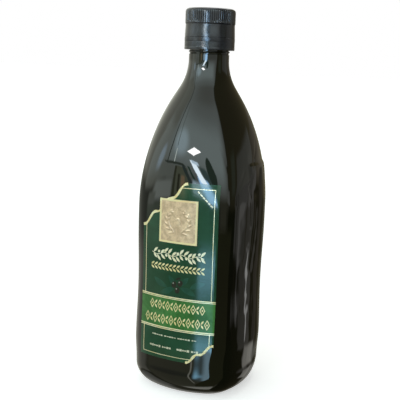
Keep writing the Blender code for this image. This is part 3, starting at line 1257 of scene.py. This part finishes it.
@dataclass(frozen=True)
class Ornament:
    """What is printed on the label, from the sprig near its top to the dashes at its foot."""

    sprig_z: float = 0.0988
    sprig_half: float = 0.0190
    sprig_steps: int = 60
    sprig_wave: float = 0.0009
    sprig_turns: float = 520.0
    stem_width: float = 0.00045
    sprig_ends: Place = (-0.0180, 0.0166)
    sprig_gaps: int = 12
    sprig_leaf: Place = (0.0046, 0.0017)
    sprig_fruit: Place = (0.0021, 0.0017)
    sprig_tilt: float = 48.0
    tilt_waver: float = 6.0
    tilt_sway: float = 2.1
    length_waver: float = 0.0004
    length_sway: float = 1.7
    leaf_reach: float = 0.55
    leaf_bow: float = 0.0002
    rope_z: float = 0.0900
    rope_half: float = 0.0184
    rope_gaps: int = 13
    rope_rise: float = 0.0014
    rope_leaf: Place = (0.0032, 0.0013)
    rope_tilt: float = 38.0
    rope_dot: Place = (0.00075, 0.00075)
    dot_shift: float = 0.00142
    shade_leaves: tuple[Leaf, ...] = (
        Leaf((-0.0120, 0.0790), (0.0118, 0.0042), 152.0, 0.0006),
        Leaf((-0.0065, 0.0745), (0.0118, 0.0042), 205.0, 0.0006),
        Leaf((0.0085, 0.0748), (0.0118, 0.0042), -22.0, 0.0006),
        Leaf((0.0150, 0.0795), (0.0118, 0.0042), 24.0, 0.0006),
        Leaf((-0.0030, 0.0812), (0.0088, 0.0034), 128.0),
        Leaf((0.0060, 0.0815), (0.0088, 0.0034), 50.0),
    )
    olive_places: tuple[tuple[Place, float], ...] = (
        ((-0.0014, 0.0788), 78.0),
        ((0.0030, 0.0800), 62.0),
        ((0.0010, 0.0752), 84.0),
    )
    olive_size: Place = (0.0046, 0.0036)
    shine_size: Place = (0.0011, 0.0008)
    shine_shift: Place = (-0.0006, 0.0009)
    twig_leaf: Leaf = Leaf((0.0016, 0.0832), (0.0046, 0.0014), 24.0)
    lozenge_rows: tuple[PrintRow, ...] = (
        PrintRow(0.0633, -0.0180, 0.0190, 0.0060, 6),
        PrintRow(0.0537, -0.0215, 0.0225, 0.0064, 7),
    )
    lozenge_half: float = 0.0016
    lozenge_line: float = 0.00052
    lozenge_dot: Place = (0.0010, 0.0013)
    laurel_leaf: Place = (0.0031, 0.0012)
    laurel_rise: float = 0.0015
    laurel_lean: float = 32.0
    small_rows: tuple[PrintRow, ...] = (
        PrintRow(0.0421, -0.0170, 0.0172, 0.0010),
        PrintRow(0.0341, -0.0188, -0.0018, 0.0015),
        PrintRow(0.0343, 0.0024, 0.0188, 0.0016),
    )
    dash_length: float = 0.0011
    dash_waver: float = 0.0007
    dash_sway: float = 2.3
    height_share: float = 0.75
    height_sway: float = 1.9
    dash_gap: float = 0.00035
    word_gap: float = 0.0013
    word_dashes: int = 5
    corner_ends: tuple[Place, Place] = ((0.0133, 0.1429), (0.0232, 0.1332))
    corner_shares: tuple[float, float, int] = (0.06, 0.94, 5)
    corner_lengths: Place = (0.0017, 0.0021)
    corner_width: float = 0.0009

    def stem_height(self, x: float) -> float:
        """Height of the sprig's waved stem at x."""
        return self.sprig_z + self.sprig_wave * math.sin(x * self.sprig_turns)

    def garland(self) -> None:
        """Lay the upper ornament, a waved olive sprig with fruit."""
        stem, leaves = FlatArt(), FlatArt()
        half = self.sprig_half
        line = [(x, self.stem_height(x)) for x in between(-half, half, self.sprig_steps)]
        stem.stroke(line, lambda t: self.stem_width)
        stem.lay("garland_stem", CREAM_PRINT)
        length, width = self.sprig_leaf
        for i, x in enumerate(between(*self.sprig_ends, self.sprig_gaps)):
            for way in (1, -1):
                tilt = way * (self.sprig_tilt + self.tilt_waver * math.sin(i * self.tilt_sway))
                long = length + self.length_waver * math.sin(i * self.length_sway + way)
                turn, reach = math.radians(tilt), long * self.leaf_reach
                at = (x + reach * math.cos(turn), self.stem_height(x) + reach * math.sin(turn))
                if (i + way) % 5 == 2:
                    leaves.stamp(Motif.DISC, at, self.sprig_fruit, tilt)
                else:
                    leaves.stamp(Motif.LEAF, at, (long, width), tilt, bend=self.leaf_bow * way)
        leaves.lay("garland_leaves", CREAM_PRINT, PRINT_LIFT + THINNEST_FILM)

    def leaf_rope(self) -> None:
        """Lay the lower ornament, a rope of small crossed leaves and dots."""
        art = FlatArt()
        places = between(-self.rope_half, self.rope_half, self.rope_gaps)
        for x in places:
            for way in (1, -1):
                at = (x, self.rope_z + self.rope_rise * way)
                art.stamp(Motif.LEAF, at, self.rope_leaf, self.rope_tilt * way)
            if x != places[-1]:
                art.stamp(Motif.DISC, (x + self.dot_shift, self.rope_z), self.rope_dot)
        art.lay("leaf_rope", YELLOW_PRINT)

    def leaf_shade(self) -> None:
        """Lay the broad dim leaves that fan out under the ornaments."""
        art = FlatArt()
        for leaf in self.shade_leaves:
            art.stamp(Motif.LEAF, leaf.at, leaf.size, leaf.angle, leaf.bend)
        art.lay("leaf_shade", LABEL_SHADE, PRINT_LIFT - THIN_FILM, THIN_FILM)

    def olives(self) -> None:
        """Lay three dark olives with their highlights and a small leaf."""
        fruit, shine = FlatArt(), FlatArt()
        for (x, z), tilt in self.olive_places:
            fruit.stamp(Motif.DISC, (x, z), self.olive_size, tilt)
            at = (x + self.shine_shift[0], z + self.shine_shift[1])
            shine.stamp(Motif.DISC, at, self.shine_size, tilt)
        fruit.stamp(Motif.LEAF, self.twig_leaf.at, self.twig_leaf.size, self.twig_leaf.angle)
        fruit.lay("olive_print", OLIVE_INK)
        shine.lay("olive_shine_print", OLIVE_SHINE, PRINT_LIFT + FILM, THINNEST_FILM)

    def laurel_rows(self) -> None:
        """Lay the two rows of ornament in the band: open lozenges between pairs of leaves."""
        art = FlatArt()
        for row in self.lozenge_rows:
            z, half, wide = row.z, row.height / 2, self.lozenge_half
            for x in between(row.first, row.last, row.gaps):
                art.ring([(x - wide, z), (x, z + half), (x + wide, z), (x, z - half)], self.lozenge_line)
                art.stamp(Motif.DISC, (x, z), self.lozenge_dot)
            step = (row.last - row.first) / row.gaps
            for x in between(row.first + step / 2, row.last - step / 2, row.gaps - 1):
                for way in (1, -1):
                    at = (x, z + self.laurel_rise * way)
                    art.stamp(Motif.LEAF, at, self.laurel_leaf, 90.0 - self.laurel_lean * way)
        art.lay("laurel_rows", YELLOW_PRINT, PRINT_LIFT + FILM)

    def small_print(self) -> None:
        """Lay rows of short dashes where the label has its small print."""
        art = FlatArt()
        for number, row in enumerate(self.small_rows):
            x = row.first
            for i in count():
                length = self.dash_length + self.dash_waver * math.sin(i * self.dash_sway + number) ** 2
                if x + length > row.last:
                    break
                waver = (1.0 - self.height_share) * math.sin(i * self.height_sway)
                height = row.height * (self.height_share + waver)
                art.stamp(Motif.BAR, (x + length / 2, row.z), (length, height))
                ends_word = i % self.word_dashes == self.word_dashes - 1
                x += length + (self.word_gap if ends_word else self.dash_gap)
        art.lay("small_print", SMALL_PRINT)

    def corner_dashes(self) -> None:
        """Lay the slanting row of dashes in the upper right corner."""
        art = FlatArt()
        (x, z), (end_x, end_z) = self.corner_ends
        slope = math.degrees(math.atan2(end_z - z, end_x - x))
        for i, t in enumerate(between(*self.corner_shares)):
            at = (x + (end_x - x) * t, z + (end_z - z) * t)
            art.stamp(Motif.BAR, at, (self.corner_lengths[i % 2], self.corner_width), slope)
        art.lay("corner_dashes", CREAM_PRINT)

    def build(self) -> None:
        """Lay all of the ornament."""
        self.garland()
        self.leaf_rope()
        self.leaf_shade()
        self.olives()
        self.laurel_rows()
        self.small_print()
        self.corner_dashes()


# Foil seal

@dataclass(frozen=True)
class Seal:
    """The square foil seal with its raised rim, two embossed branches and an olive."""

    columns: int = 108
    rows: int = 116
    lift: float = 0.00032
    thickness: float = 0.00025
    rim_width: float = 0.0013
    rim_thickness: float = 0.00016
    emboss: float = 0.00034
    branch_radius: float = 0.0078
    branch_start: float = -70.0
    branch_turn: float = 118.0
    branch_gaps: int = 5
    leaf_length: float = 0.0046
    leaf_taper: float = 0.0004
    leaf_spread: float = 0.55
    leaf_shift: float = 0.4
    leaf_half_width: float = 0.0011
    olive_half: Place = (0.0022, 0.0028)
    olive_flat: float = 0.6

    def leaves(self) -> list[tuple[Place, float, float]]:
        """Feet, lengths and angles of the embossed leaves, on two arching branches."""
        found = []
        for side in (1, -1):
            for i, t in enumerate(between(0.0, 1.0, self.branch_gaps)):
                turn = math.radians(self.branch_start + self.branch_turn * t)
                at = (side * self.branch_radius * math.cos(turn), self.branch_radius * math.sin(turn))
                for spread in (self.leaf_spread, -self.leaf_spread):
                    lean = turn + QUARTER + spread
                    heading = lean if side > 0 else math.pi - lean
                    found.append((at, self.leaf_length - self.leaf_taper * i, heading))
        return found

    def relief(self, x: float, z: float, leaves: Sequence[tuple[Place, float, float]]) -> float:
        """Height of the embossing.

        Args:
            x: Place across the seal, from its middle.
            z: Height from its middle.
            leaves: Foot, length and angle of each leaf.

        Returns:
            The height above the foil, in metres.
        """
        best = 0.0
        for at, length, heading in leaves:
            along = (x - at[0]) * math.cos(heading) + (z - at[1]) * math.sin(heading)
            across = (z - at[1]) * math.cos(heading) - (x - at[0]) * math.sin(heading)
            share = 2 * (along - length * self.leaf_shift) / length
            if abs(share) < 1.0:
                half_width = self.leaf_half_width * (1.0 - share**2)
                best = max(best, 1.0 - smooth_step(abs(across / half_width)))
        reach = math.hypot(x / self.olive_half[0], z / self.olive_half[1])
        olive = 1.0 - smooth_step((reach - self.olive_flat) / (1.0 - self.olive_flat))
        return self.emboss * max(best, olive)

    def build(self) -> None:
        """Make the foil field with its embossing, and the rim round it."""
        low, high = BOXES["foil_seal"]
        middle = ((low.x + high.x) / 2, (low.z + high.z) / 2)
        width, height = high.x - low.x, high.z - low.z
        leaves = self.leaves()
        mesh = bmesh.new()
        bmesh.ops.create_grid(mesh, x_segments=self.columns, y_segments=self.rows, size=0.5)
        made = bmesh.ops.extrude_face_region(mesh, geom=mesh.faces[:], use_keep_orig=True)
        front = {item for item in made["geom"] if isinstance(item, bmesh.types.BMVert)}
        bmesh.ops.recalc_face_normals(mesh, faces=mesh.faces)
        for vert in mesh.verts:
            x, z = vert.co.x * width, vert.co.y * height
            lift = self.lift + (self.thickness + self.relief(x, z, leaves) if vert in front else 0.0)
            vert.co = WALL.front(x + middle[0], z + middle[1], lift)
        bmesh.ops.recalc_face_normals(mesh, faces=mesh.faces)
        make_piece("seal_field", mesh, SEAL_FIELD, "foil_seal", sharp=SHEET_SHARP)
        half_x, half_z = (width - self.rim_width) / 2, (height - self.rim_width) / 2
        side_height = height - 2 * self.rim_width
        art = FlatArt()
        for way in (1, -1):
            art.stamp(Motif.BAR, (middle[0], middle[1] + half_z * way), (width, self.rim_width))
            art.stamp(Motif.BAR, (middle[0] + half_x * way, middle[1]), (self.rim_width, side_height))
        art.lay("seal_rim", SEAL_RIM, self.lift + self.thickness, self.rim_thickness)


# Studio

class PatchShape(Enum):
    """Outlines of the lit and dark patches of the studio."""

    BOX = "box"
    ELLIPSE = "ellipse"
    DIAMOND = "diamond"


@dataclass(frozen=True)
class Patch:
    """A patch of light or dark around the bottle, placed by azimuth from -Y towards +X and by elevation.

    All is in degrees. The blur is the width of the soft edge, the lean moves the patch sideways as it rises,
    and the tilt raises it as it turns. A later patch covers the ones before it.
    """

    centre: Place
    half_size: Place
    light: Colour
    blur: float = 2.0
    lean: float = 0.0
    tilt: float = 0.0
    shape: PatchShape = PatchShape.BOX


PATCHES = (
    # Broad light from the left
    Patch((-115, 50), (65, 50), (1.08, 1.10, 0.95), blur=10),
    Patch((-68, 38), (16, 43), (1.30, 1.38, 1.20), blur=10),
    Patch((-68, 16), (14, 12), (1.75, 1.95, 1.80), blur=9),
    Patch((-98, -8), (42, 6), (0.34, 0.35, 0.30), blur=5),
    # The pale front, high up
    Patch((4.5, 44), (56.5, 48), (1.02, 1.08, 1.00), blur=1.6, lean=-0.2),
    Patch((4, 31), (56, 25), (1.48, 1.68, 1.62), blur=14),
    Patch((0, 26), (52, 15), (2.40, 2.88, 2.85), blur=20),
    Patch((-31, 23.5), (13, 8), (3.9, 5, 5.4), blur=8, shape=PatchShape.ELLIPSE),
    Patch((-61, 12), (4.5, 5.5), (2.7, 3.4, 3.9), blur=5, shape=PatchShape.ELLIPSE),
    # The dim front and left, low down
    Patch((4, -44), (62, 44), (0.38, 0.37, 0.27), blur=8),
    Patch((-15, -14), (46, 8.5), (0.24, 0.24, 0.20), blur=5),
    Patch((-49, -12.5), (12.5, 4), (0.66, 0.80, 0.62), blur=4.5),
    Patch((-46, -3.5), (11, 4.5), (1.90, 2.10, 1.95), blur=4),
    Patch((-46, 5.5), (11, 4), (1.35, 1.50, 1.35), blur=4),
    Patch((-99, -24), (39, 10.5), (0.72, 0.70, 0.60), blur=6),
    Patch((-120, -52), (50, 13), (0.55, 0.55, 0.50), blur=8),
    # The dark right side and its grey blotches
    Patch((124, 40), (60, 49), (0.22, 0.19, 0.11), blur=1.4, lean=-0.2),
    Patch((88, 12), (8, 11), (0.34, 0.38, 0.28), blur=8),
    Patch((124, 6), (19, 11), (0.48, 0.48, 0.42), blur=5),
    Patch((162, 2), (19, 10), (0.28, 0.25, 0.19), blur=3),
    Patch((121, -48), (59, 41), (0.05, 0.045, 0.025), blur=9),
    Patch((-151, 4), (9, 32), (0.95, 0.98, 0.90), blur=10),
    Patch((124, -8.5), (24, 7.5), (0.42, 0.41, 0.38), blur=1.5),
    Patch((142, -16), (10, 6), (0.24, 0.23, 0.20), blur=2.5),
    Patch((112, -10), (1.2, 8), (0.10, 0.08, 0.05), blur=1),
    Patch((127.5, -12), (2, 4.5), (0.72, 0.71, 0.67), blur=1.5),
    Patch((136, -9), (1, 7), (0.14, 0.12, 0.08), blur=1),
    Patch((143.6, -17), (1.5, 2.2), (1.7, 1.7, 1.65), blur=1.5),
    Patch((165, -12), (6, 9), (0.10, 0.09, 0.07), blur=2.5),
    Patch((156, -27), (11, 6), (0.80, 0.78, 0.70), blur=3),
    Patch((176, -30), (12, 8), (0.40, 0.39, 0.35), blur=4),
    # Light from behind and from overhead
    Patch((180, 50), (26, 13), (2.6, 2.7, 2.7), blur=5),
    Patch((0, 90), (180, 18), (2.2, 2.3, 2.3), blur=4),
    # Bars, blotches and glints of the front
    Patch((-49.5, 31), (0.8, 21), (0.30, 0.34, 0.28), blur=0.9, lean=-0.08),
    Patch((-39, 33), (0.5, 13.5), (0.75, 0.9, 0.8), blur=0.9, lean=-0.12),
    Patch((-36.9, 14), (0.6, 4), (8.5, 9.6, 9), blur=0.7),
    Patch((-35, 9.6), (15.5, 0.7), (0.40, 0.5, 0.42), blur=0.8, lean=-4),
    Patch((-24.5, 0.8), (9.5, 7.6), (0.95, 1.05, 0.75), blur=1.4),
    Patch((-32.5, 0.5), (1.6, 7.6), (0.40, 0.42, 0.28), blur=1),
    Patch((-26.5, -1), (1.3, 5), (0.30, 0.28, 0.20), blur=1),
    Patch((-21, -1.5), (2.4, 5), (2.2, 1.6, 1), blur=1.6),
    Patch((-13, 3), (2.6, 6.2), (0.35, 0.50, 0.50), blur=1, lean=-1.4),
    Patch((-6.8, 4.4), (1.5, 5.4), (0.30, 0.60, 0.45), blur=0.8, lean=-1.4),
    Patch((10.5, 7.5), (4.5, 5), (0.60, 0.95, 0.95), blur=2.5, lean=-1.2),
    Patch((16, 12.5), (5.3, 8), (0.26, 0.40, 0.32), blur=1.2, lean=-0.3, shape=PatchShape.ELLIPSE),
    Patch((-57.5, -7), (4, 3), (1.1, 1.2, 1.05), blur=3),
    Patch((7, -22.5), (10, 5), (4.2, 8.8, 12), blur=5.5),
    Patch((5, -29), (7, 8), (0.55, 0.75, 0.80), blur=11),
    Patch((9.5, -28), (4, 7), (2.2, 3.4, 4.1), blur=6.5),
    Patch((32.6, -46), (32, 34), (0.16, 0.15, 0.08), blur=1.6, lean=0.6),
    Patch((-6.5, -34), (0.7, 14), (2.2, 2.2, 1.9), blur=0.8, lean=-0.15),
    Patch((0, -78), (50, 9), (1.9, 1.9, 1.7), blur=8),
    Patch((-2.5, -0.5), (6, 3.5), (4.2, 5.6, 6.6), blur=2.5),
    Patch((8.5, 0), (6, 6), (7, 12, 18), blur=2.5, lean=-0.8),
    Patch((-1.2, 8.75), (4, 5.2), (17, 20, 22), blur=1, lean=-1.43),
    Patch((-5, 13.5), (5, 0.9), (8.5, 11, 13), blur=0.9, lean=-1),
    Patch((-6.4, 20.3), (11, 2.7), (30, 30, 30), blur=0.6, tilt=0.16, shape=PatchShape.DIAMOND),
)


@dataclass(frozen=True)
class Studio:
    """Camera, pale floor and the soft surroundings that the gloss mirrors."""

    base_light: Colour = (0.15, 0.14, 0.10)
    soft_share: float = 0.50
    floor_white: Colour = (0.88, 0.88, 0.88)
    floor_glow: float = 0.55
    floor_bounce: float = 0.16
    camera_distance: float = 0.5497
    camera_height: float = 0.2258
    camera_azimuth: float = math.radians(23.518)
    pan: float = math.radians(0.254)
    pitch: float = math.radians(9.863)
    roll: float = math.radians(-2.198)
    focal_pixels: float = 797.6
    image_pixels: float = 400.0
    sensor: float = 36.0
    floor_size: float = 30.0
    clip: Place = (0.01, 100.0)

    def camera(self) -> None:
        """Set the camera where the photograph was taken from."""
        data = bpy.data.cameras.new("camera")
        data.sensor_width = self.sensor
        data.lens = self.focal_pixels * self.sensor / self.image_pixels
        data.clip_start, data.clip_end = self.clip
        camera = bpy.data.objects.new("camera", data)
        bpy.context.scene.collection.objects.link(camera)
        heading = Euler((0.0, 0.0, self.camera_azimuth + self.pan)).to_matrix()
        tilt = Euler((QUARTER - self.pitch, 0.0, 0.0)).to_matrix()
        spin = Euler((0.0, 0.0, -self.roll)).to_matrix()
        camera.matrix_world = Matrix.Translation(
            (
                self.camera_distance * math.sin(self.camera_azimuth),
                -self.camera_distance * math.cos(self.camera_azimuth),
                self.camera_height,
            )
        ) @ (heading @ tilt @ spin).to_4x4()
        bpy.context.scene.camera = camera

    def patch_mask(self, shape: PatchShape) -> bpy.types.NodeTree:
        """Make the group that masks one kind of patch.

        Args:
            shape: Its outline.

        Returns:
            The node group.
        """
        places = ("Azimuth", "Elevation", "Middle Azimuth", "Middle Elevation")
        sizes = ("Half Width", "Half Height", "Blur", "Lean", "Tilt")
        rows = [(name, "Float") for name in places + sizes]
        nodes, start, end = new_group(f"patch_{shape.value}", rows, [("Mask", "Float")])
        given = start.outputs

        def soft(inside: bpy.types.NodeSocket) -> bpy.types.NodeSocket:
            """Mask for a distance inside the outline, in degrees."""
            return nodes.ease(nodes.sum("ADD", nodes.sum("DIVIDE", inside, given["Blur"]), 0.5), 0.0, 1.0)

        rise = nodes.sum("SUBTRACT", given["Elevation"], given["Middle Elevation"])
        shift = nodes.sum("MULTIPLY_ADD", rise, given["Lean"], given["Middle Azimuth"])
        turn = nodes.sum("WRAP", nodes.sum("SUBTRACT", given["Azimuth"], shift), 180.0, -180.0)
        level = nodes.sum("SUBTRACT", rise, nodes.sum("MULTIPLY", turn, given["Tilt"]))
        wide, high = nodes.sum("ABSOLUTE", turn), nodes.sum("ABSOLUTE", level)
        if shape is PatchShape.BOX:
            gaps = ((given["Half Width"], wide), (given["Half Height"], high))
            masks = [soft(nodes.sum("SUBTRACT", half, away)) for half, away in gaps]
            nodes.put(end.inputs["Mask"], nodes.sum("MULTIPLY", *masks))
            return nodes.tree
        across = nodes.sum("DIVIDE", wide, given["Half Width"])
        up = nodes.sum("DIVIDE", high, given["Half Height"])
        if shape is PatchShape.ELLIPSE:
            squares = nodes.sum("ADD", nodes.sum("MULTIPLY", across, across), nodes.sum("MULTIPLY", up, up))
            reach = nodes.sum("SQRT", squares)
        else:
            reach = nodes.sum("ADD", across, up)
        inside = nodes.sum("MULTIPLY", nodes.sum("SUBTRACT", 1.0, reach), given["Half Height"])
        nodes.put(end.inputs["Mask"], soft(inside))
        return nodes.tree

    def surroundings(self) -> None:
        """Paint the soft patches round the bottle, behind a plain white that only the camera sees."""
        world = bpy.data.worlds.new("studio")
        bpy.context.scene.world = world
        world.use_nodes = True
        world.node_tree.nodes.clear()
        nodes = Nodes(world.node_tree)
        split = nodes.add("SeparateXYZ")
        nodes.put(split.inputs[0], nodes.add("TexCoord").outputs["Generated"])
        back = nodes.sum("MULTIPLY", split.outputs["Y"], -1.0)
        azimuth = nodes.sum("DEGREES", nodes.sum("ARCTAN2", split.outputs["X"], back))
        elevation = nodes.sum("DEGREES", nodes.sum("ARCSINE", split.outputs["Z"]))
        masks = {shape: self.patch_mask(shape) for shape in PatchShape}
        colour = nodes.add("RGB").outputs[0]
        colour.default_value = (*self.base_light, 1.0)
        for patch in PATCHES:
            mask = nodes.group(
                masks[patch.shape],
                Azimuth=azimuth,
                Elevation=elevation,
                Middle_Azimuth=patch.centre[0],
                Middle_Elevation=patch.centre[1],
                Half_Width=patch.half_size[0],
                Half_Height=patch.half_size[1],
                Blur=patch.blur,
                Lean=patch.lean,
                Tilt=patch.tilt,
            )
            colour = nodes.mix(mask.outputs["Mask"], colour, patch.light)
        path = nodes.add("LightPath").outputs
        extra = nodes.sum("MULTIPLY", path["Is Glossy Ray"], 1.0 - self.soft_share)
        around, plain = nodes.add("Background"), nodes.add("Background")
        nodes.put(around.inputs["Color"], colour)
        nodes.put(around.inputs["Strength"], nodes.sum("ADD", extra, self.soft_share))
        nodes.put(plain.inputs["Color"], (1.0, 1.0, 1.0))
        chosen = nodes.add("MixShader")
        nodes.put(chosen.inputs[0], path["Is Camera Ray"])
        nodes.put(chosen.inputs[1], around.outputs[0])
        nodes.put(chosen.inputs[2], plain.outputs[0])
        nodes.put(nodes.add("OutputWorld").inputs["Surface"], chosen.outputs[0])

    def floor(self) -> None:
        """Lay the plain pale floor, which isn't part of the bottle."""
        mesh = bmesh.new()
        bmesh.ops.create_grid(mesh, x_segments=1, y_segments=1, size=self.floor_size / 2)
        data = bpy.data.meshes.new("floor")
        mesh.to_mesh(data)
        mesh.free()
        material = bpy.data.materials.new("floor_white")
        material.use_nodes = True
        material.node_tree.nodes.clear()
        nodes = Nodes(material.node_tree)
        seen, bounced, glow = nodes.add("BsdfDiffuse"), nodes.add("BsdfDiffuse"), nodes.add("Emission")
        nodes.put(seen.inputs["Color"], self.floor_white)
        nodes.put(glow.inputs["Strength"], self.floor_glow)
        nodes.put(bounced.inputs["Color"], (self.floor_bounce, self.floor_bounce, self.floor_bounce))
        bright = nodes.add("AddShader")
        nodes.put(bright.inputs[0], seen.outputs[0])
        nodes.put(bright.inputs[1], glow.outputs[0])
        chosen = nodes.add("MixShader")
        nodes.put(chosen.inputs[0], nodes.add("LightPath").outputs["Is Camera Ray"])
        nodes.put(chosen.inputs[1], bounced.outputs[0])
        nodes.put(chosen.inputs[2], bright.outputs[0])
        nodes.put(nodes.add("OutputMaterial").inputs["Surface"], chosen.outputs[0])
        data.materials.append(material)
        floor = bpy.data.objects.new("floor", data)
        bpy.context.scene.collection.objects.link(floor)
        floor.visible_glossy = False

    def build(self) -> None:
        """Set the camera, the floor and the light, and show colours as they are."""
        self.camera()
        self.floor()
        self.surroundings()
        bpy.context.scene.view_settings.view_transform = "Standard"


def main() -> None:
    """Build the studio and every piece in order."""
    logging.basicConfig(level=logging.INFO, format="%(name)s: %(message)s")
    Studio().build()
    for part in (Bottle(), Cap(), TamperBand(), Label(), Ornament(), Seal()):
        part.build()
        log.info("built %s", type(part).__name__)


if __name__ == "__main__":
    main()
